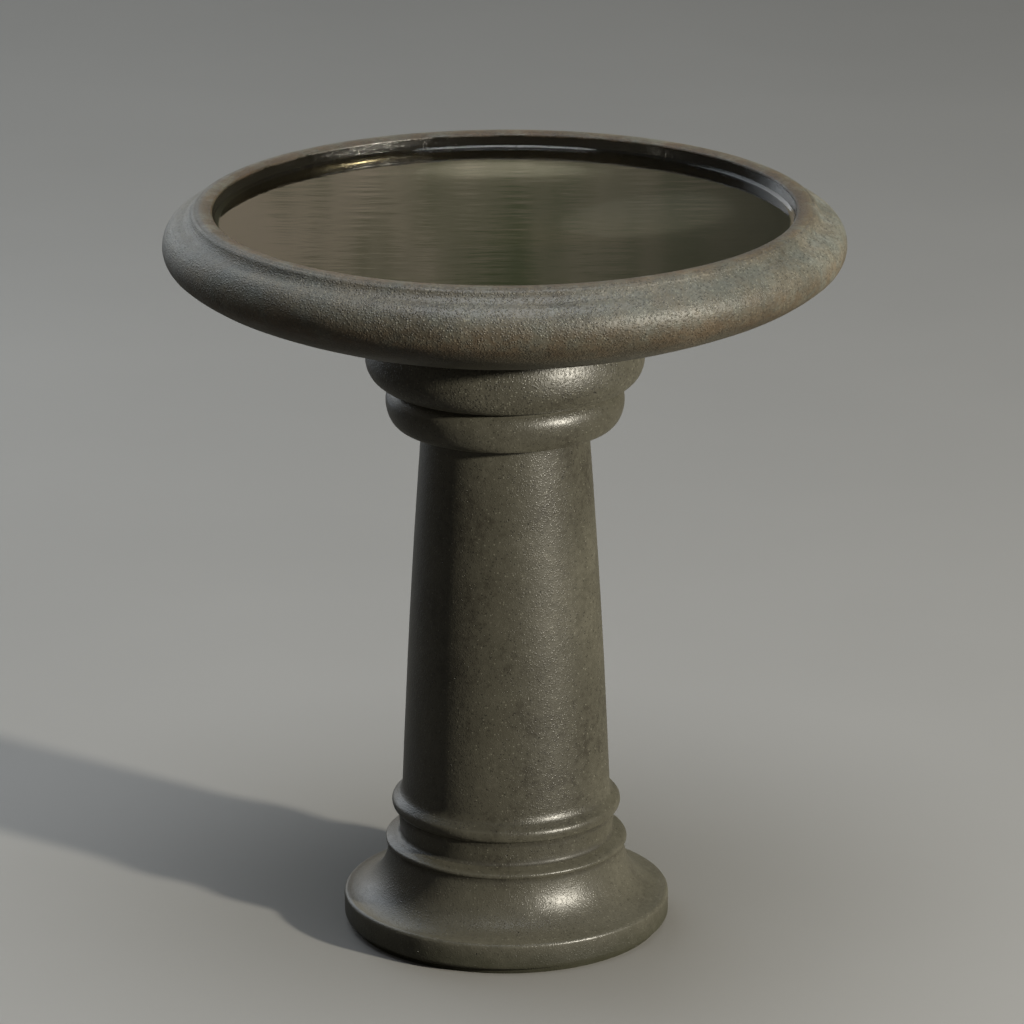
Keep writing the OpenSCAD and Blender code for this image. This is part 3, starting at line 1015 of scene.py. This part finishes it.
def water_section():
    """Half of the water's outline: the flat top, the climbing edge and the hidden underside."""
    edge_z = water_z + MENISCUS_CLIMB
    stone = dish_radius(edge_z)
    flat = stone - MENISCUS_REACH
    points = line_points((0.0, water_z), (flat, water_z), 30)
    for i in range(15):
        t = i / 14
        points.append((flat + MENISCUS_REACH * t, water_z + MENISCUS_CLIMB * t**3))
    points.append((stone + SUNK, edge_z))
    return (points + sunken_dish_points(edge_z - 0.5 * MM))[::-1]


print(f"water {2 * dish_radius(water_z) / MM:.0f} mm across, {(lip_top_z - water_z) / MM:.1f} mm down")


# %% [markdown]
# ## Building the pieces
#
# Now the parts come together. Each is turned from its section, given its finish and hung on the body it
# rides on, and the design's own part beneath it is hidden. The water stands for no part of the design: it
# only rides on the bowl.

# %% Castings
BOWL_STEPS = 384
PEDESTAL_STEPS = 280
WATER_STEPS = 256
PAD_STEPS = 48
UNEVENNESS = 0.35 * MM
LUMP_SIZE = 30 * MM

bowl = turn("bowl_casting", bowl_section(), BOWL_STEPS, bowl_stone(), UNEVENNESS, LUMP_SIZE, seed=2.0)
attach(bowl, "bowl")
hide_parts("bowl")

pedestal = turn(
    "pedestal_casting", pedestal_section(), PEDESTAL_STEPS, pedestal_stone(), UNEVENNESS, LUMP_SIZE, seed=5.0)
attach(pedestal, "pedestal")
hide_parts("pedestal")

# %% Water
water = turn("water", water_section(), WATER_STEPS, water_material())
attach(water, "bowl")


# %% [markdown]
# ## The levelling pads
#
# Three thin rubber discs keep the bowl from rocking. They are one disc, repeated round a circle, so they
# are built that way: a tree puts the same disc on each corner of a triangle.

# %% Copies round a circle
pad_r = 11 * MM
pad_ring_r = pads_high[1] - pad_r
print(f"pads {2 * pad_r / MM:.0f} mm across, {pad_ring_r / MM:.0f} mm from the axis")


def repeat_round_tree():
    """Puts copies of a piece on the corners of a regular polygon."""
    tree = bpy.data.node_groups.new("repeat round a circle", "GeometryNodeTree")
    tree.is_modifier = True
    tree_socket(tree, "Geometry", "NodeSocketGeometry")
    tree_socket(tree, "Count", "NodeSocketInt", 3)
    tree_socket(tree, "Radius", "NodeSocketFloat", 0.05)
    tree_socket(tree, "First Angle", "NodeSocketFloat", 0.0)
    tree_socket(tree, "Material", "NodeSocketMaterial")
    tree_socket(tree, "Geometry", "NodeSocketGeometry", out=True)
    given = tree.nodes.new("NodeGroupInput").outputs
    corners = add_node(
        tree, "GeometryNodeMeshCircle", {"Vertices": given["Count"], "Radius": given["Radius"]})
    turn_by = add_node(tree, "ShaderNodeCombineXYZ", {"Z": given["First Angle"]}).outputs[0]
    turned = add_node(tree, "GeometryNodeTransform", {"Geometry": corners.outputs[0], "Rotation": turn_by})
    copies = add_node(
        tree, "GeometryNodeInstanceOnPoints", {"Points": turned.outputs[0], "Instance": given["Geometry"]})
    whole = add_node(tree, "GeometryNodeRealizeInstances", {"Geometry": copies.outputs[0]})
    painted = add_node(
        tree, "GeometryNodeSetMaterial", {"Geometry": whole.outputs[0], "Material": given["Material"]})
    add_node(tree, "NodeGroupOutput", {0: painted.outputs[0]})
    return tree


# %% Rubber
BLACK_RUBBER = (0.012, 0.012, 0.012, 1)
STONE_DUST = (0.05, 0.047, 0.04, 1)


def rubber():
    """Dull black rubber with stone dust rubbed into it."""
    material, tree, shader, position = new_material("black_rubber")
    dust = noise_at(tree, position, 4 * MM, 4.0, 0.6)
    colour = mix_colours(tree, remap(tree, dust, 0.35, 0.75), BLACK_RUBBER, STONE_DUST)
    tree.links.new(colour, shader.inputs["Base Color"])
    tree.links.new(remap(tree, dust, 0.3, 0.7, 0.55, 0.8), shader.inputs["Roughness"])
    grained = noise_at(tree, position, 0.9 * MM, 2.0)
    bump_normal(tree, shader, math_node(tree, "MULTIPLY", grained, 0.06 * MM))
    return material


# %% One disc, then three
def pad_section():
    """Half of a disc with its edges rounded over."""
    r = 0.35 * MM
    points = [(0.0, pedestal_h)]
    points += round_points(pad_r - r, pedestal_h + r, r, r, -90, 0, 5)
    points += round_points(pad_r - r, seat_z - r, r, r, 0, 90, 5)
    return points + [(0.0, seat_z)]


disc = turn("one_pad", pad_section(), PAD_STEPS, None)
disc_mesh = disc.data
bpy.data.objects.remove(disc)
ring = {"Count": 3, "Radius": pad_ring_r, "First Angle": math.radians(90), "Material": rubber()}
pads = grow("levelling_pads_rubber", disc_mesh, repeat_round_tree(), ring)
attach(pads, "pedestal")
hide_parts("levelling_pads")
print("pads reach", [round(c, 4) for c in pads.bound_box[6]])


# %% [markdown]
# ## Studio
#
# A plain, pale floor, whose grey drifts very slightly. A bath stands on dark ground, which throws little
# light up under its mouldings, so to every ray but the camera's the floor is darker than it looks.
#
# One small, warm, low lamp from the front right rakes the mouldings, the way late sun would. A broad
# cool panel from the back left puts soft grey light on the shaded edges, a small one low down does the
# same for the plinth, and a large one overhead lights the lip and the ledges. The world round them is
# what the water and the wet stone mirror: a mottled garden wall beyond the bath, dim ground on the near
# side, and a cool sky.

# %% Floor
HALF_FLOOR = 25.0
FLOOR_GREYS = ((0.20, 0.197, 0.190, 1), (0.225, 0.221, 0.213, 1))
FLOOR_UNSEEN = (0.07, 0.065, 0.055, 1)


def floor_material():
    """Pale to the camera, darker to the light that bounces off it."""
    material, tree, shader, position = new_material("studio_floor")
    grey = noise_at(tree, position, 0.35, 4.0, 0.5)
    colour = mix_colours(tree, grey, *FLOOR_GREYS)
    seen = tree.nodes.new("ShaderNodeLightPath").outputs["Is Camera Ray"]
    colour = mix_colours(tree, seen, FLOOR_UNSEEN, colour)
    tree.links.new(colour, shader.inputs["Base Color"])
    shader.inputs["Roughness"].default_value = 0.75
    return material


floor_mesh = bpy.data.meshes.new("floor")
corners = [(x * HALF_FLOOR, y * HALF_FLOOR, 0) for x, y in ((-1, -1), (1, -1), (1, 1), (-1, 1))]
floor_mesh.from_pydata(corners, [], [(0, 1, 2, 3)])
floor_mesh.materials.append(floor_material())
floor = bpy.data.objects.new("floor", floor_mesh)
bpy.context.scene.collection.objects.link(floor)
print(f"floor {2 * HALF_FLOOR:.0f} m across")


# %% Lamps
SUN_WHITE = (1.0, 0.94, 0.80)
SHADE_BLUE = (0.82, 0.91, 1.0)
SKY_WHITE = (0.94, 0.97, 1.0)


def aim(thing, target):
    """Turns a lamp to face a point."""
    direction = Vector(target) - thing.location
    thing.rotation_euler = direction.to_track_quat("-Z", "Y").to_euler()


def add_panel(name, azimuth, elevation, distance, size, watts, colour, target=(0, 0, 0.35)):
    """An area lamp. Azimuth is in degrees to the right of the way the camera stands."""
    data = bpy.data.lights.new(name, "AREA")
    data.shape = "DISK"
    data.size = size
    data.energy = watts
    data.color = colour
    lamp = bpy.data.objects.new(name, data)
    a, e = math.radians(azimuth), math.radians(elevation)
    away = Vector((math.sin(a) * math.cos(e), -math.cos(a) * math.cos(e), math.sin(e)))
    lamp.location = Vector(target) + away * distance
    bpy.context.scene.collection.objects.link(lamp)
    aim(lamp, target)
    print(f"{name}: {watts} W, {size} m across")


add_panel("low_sun", azimuth=54, elevation=16.3, distance=5.0, size=0.3, watts=475, colour=SUN_WHITE)
add_panel("cool_panel", azimuth=-148, elevation=29, distance=4.0, size=3.2, watts=40, colour=SHADE_BLUE)
add_panel("top_panel", azimuth=0, elevation=84, distance=3.5, size=2.4, watts=108, colour=SKY_WHITE)
add_panel(
    "low_cool_panel", azimuth=-140, elevation=14, distance=2.0, size=1.2, watts=2.6, colour=SHADE_BLUE,
    target=(0, 0, 0.06))


# %% World
WALL_MOSS = (0.14, 0.17, 0.085, 1)
WALL_STONE = (0.60, 0.51, 0.38, 1)
HEDGE = (0.12, 0.12, 0.085, 1)
NEAR_RIGHT = (0.060, 0.055, 0.045, 1)
NEAR_LEFT = (0.17, 0.155, 0.125, 1)
SKY = (0.13, 0.145, 0.16, 1)


def build_world():
    """The wall beyond the bath, the hedge beside it, the near side and the sky."""
    world = bpy.data.worlds.new("dim_room")
    world.use_nodes = True
    tree = world.node_tree
    tree.nodes.clear()
    direction = tree.nodes.new("ShaderNodeTexCoord").outputs["Generated"]
    parts = add_node(tree, "ShaderNodeSeparateXYZ", {0: direction}).outputs
    upright = add_node(tree, "ShaderNodeMapping", {"Vector": direction, "Scale": (1.0, 1.0, 0.25)})
    patches = noise_at(tree, upright.outputs[0], 0.022, 3.0, 0.6)
    patches = math_node(tree, "ADD", patches, remap(tree, parts["X"], 0.0, -0.035, 0.0, 0.09))
    wall_colour = mix_colours(tree, remap(tree, patches, 0.36, 0.62), WALL_MOSS, WALL_STONE)
    beyond = mix_colours(tree, remap(tree, parts["X"], -0.01, 0.05), wall_colour, HEDGE)
    near = mix_colours(tree, remap(tree, parts["X"], -0.2, -0.8), NEAR_RIGHT, NEAR_LEFT)
    low = mix_colours(tree, remap(tree, parts["Y"], 0.55, 0.85), near, beyond)
    colour = mix_colours(tree, remap(tree, parts["Z"], 0.42, 0.75), low, SKY)
    background = add_node(tree, "ShaderNodeBackground", {"Color": colour, "Strength": 1.0})
    output = tree.nodes.new("ShaderNodeOutputWorld")
    tree.links.new(background.outputs[0], output.inputs["Surface"])
    bpy.context.scene.world = world
    print(f"world of {len(tree.nodes)} nodes")


build_world()
bpy.context.scene.view_settings.view_transform = "Standard"
